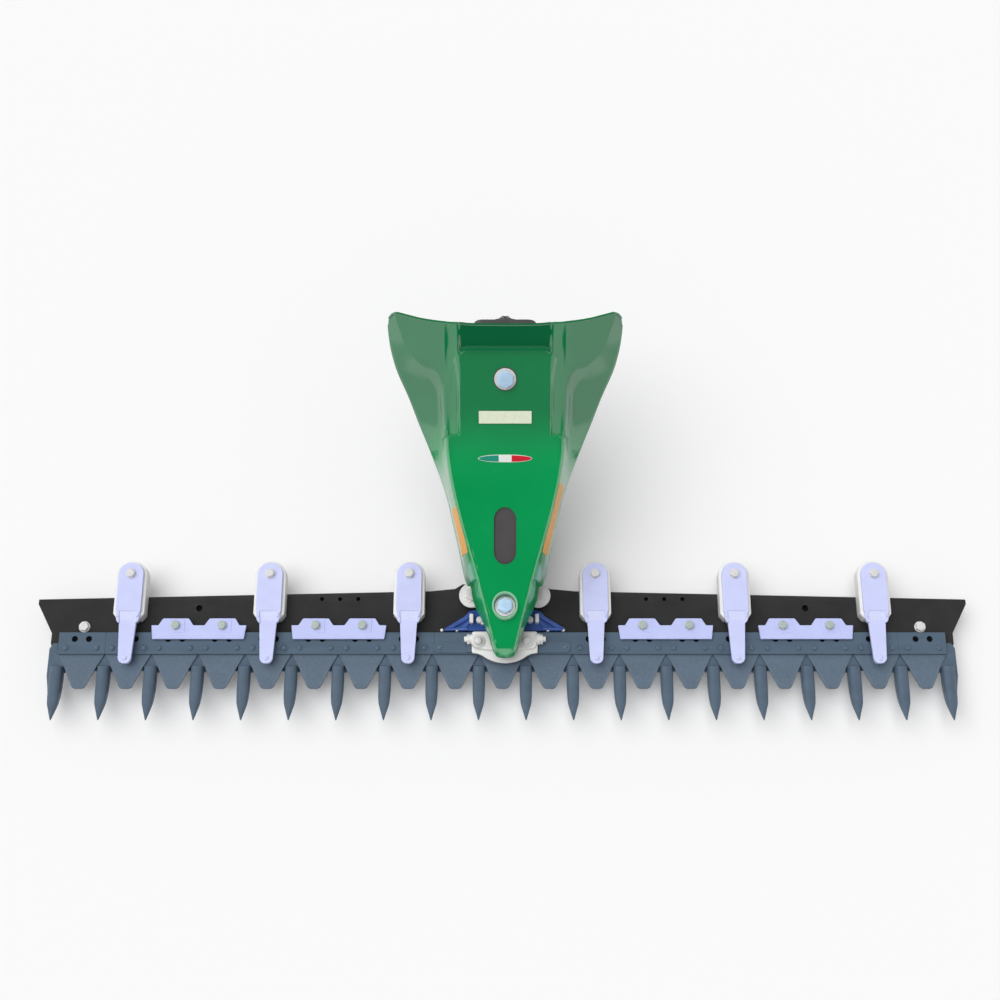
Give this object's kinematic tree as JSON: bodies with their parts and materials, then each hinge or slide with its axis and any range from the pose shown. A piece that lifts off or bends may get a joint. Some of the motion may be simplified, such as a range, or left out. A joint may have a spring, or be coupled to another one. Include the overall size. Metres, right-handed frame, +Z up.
{
  "type": "sickle bar mower",
  "caption": "Centre-driven sickle bar mower for a two-wheel tractor: finger bar with a reciprocating toothed knife, hold-down clips and a sloping green drive hood.",
  "frame": {"origin": "on the floor below the middle of the machine's bounding box; the knife's rivet line lies 178.5 mm in front of it", "axes": "+X along the cutter bar, +Y to the rear towards the tractor, +Z up"},
  "size_m": [1.532, 0.593, 0.3831],
  "materials": {
    "beam_paint": "satin black paint",
    "guard_cast": "satin blue-grey paint over casting",
    "knife_steel": "blue-grey oiled steel",
    "clip_lilac": "pale lilac zinc finish",
    "clip_white": "satin white paint",
    "bracket_blue": "blue paint over ribbed casting",
    "housing_grey": "dark grey paint over casting",
    "hood_green": "glossy green paint",
    "bolt_zinc": "zinc plated",
    "skid_steel": "black painted steel, worn soles",
    "shaft_steel": "ground steel"
  },
  "bodies": {
    "bar": {"cutter_beam": "beam_paint", "guard_1": "guard_cast", "guard_2": "guard_cast", "guard_3": "guard_cast", "guard_4": "guard_cast", "guard_5": "guard_cast", "guard_6": "guard_cast", "guard_7": "guard_cast", "guard_8": "guard_cast", "guard_9": "guard_cast", "guard_10": "guard_cast", "guard_bolts": "bolt_zinc", "gear_housing": "housing_grey", "coupling_flange": "housing_grey", "bar_bracket": "bracket_blue", "bracket_bolts": "bolt_zinc", "foot_bolts": "bolt_zinc", "clip_base_1": "clip_white", "clip_arm_1": "clip_lilac", "clip_base_2": "clip_white", "clip_arm_2": "clip_lilac", "clip_base_3": "clip_white", "clip_arm_3": "clip_lilac", "clip_base_4": "clip_white", "clip_arm_4": "clip_lilac", "clip_base_5": "clip_white", "clip_arm_5": "clip_lilac", "clip_base_6": "clip_white", "clip_arm_6": "clip_lilac", "clip_bolts": "bolt_zinc", "clip_screws": "bolt_zinc", "knife_guide_1": "clip_lilac", "knife_guide_2": "clip_lilac", "knife_guide_3": "clip_lilac", "knife_guide_4": "clip_lilac", "guide_bolts": "bolt_zinc", "centre_skid": "skid_steel", "end_skid_left": "skid_steel", "end_skid_right": "skid_steel", "end_bolts": "bolt_zinc", "hood": "hood_green", "hood_bolt_front": "bolt_zinc", "hood_bolt_rear": "bolt_zinc", "hood_spacer": "housing_grey"},
    "knife": {"knife_back": "knife_steel", "knife_sections": "knife_steel", "knife_head": "knife_steel", "knife_clamp": "clip_white", "clamp_bolts": "bolt_zinc"},
    "rocker": {"drive_arm": "shaft_steel"},
    "input": {"input_shaft": "shaft_steel"}
  },
  "joints": [
    {"name": "knife_stroke", "type": "slide", "parent": "bar", "child": "knife", "axis": [1, 0, 0], "range_m": [-0.038, 0.038]},
    {"name": "drive_arm_swing", "type": "hinge", "parent": "bar", "child": "rocker", "pos_m": [0, -0.0415, 0.08], "axis": [0, 0, 1], "range_deg": [-16.5, 16.5]},
    {"name": "input_spin", "type": "hinge", "parent": "bar", "child": "input", "pos_m": [0.0042, 0.2215, 0.29], "axis": [0, 1, 0], "continuous": true}
  ],
  "couplings": [
    {"joint": "drive_arm_swing", "follows": "knife_stroke", "rad_per_m": 7.55}
  ]
}
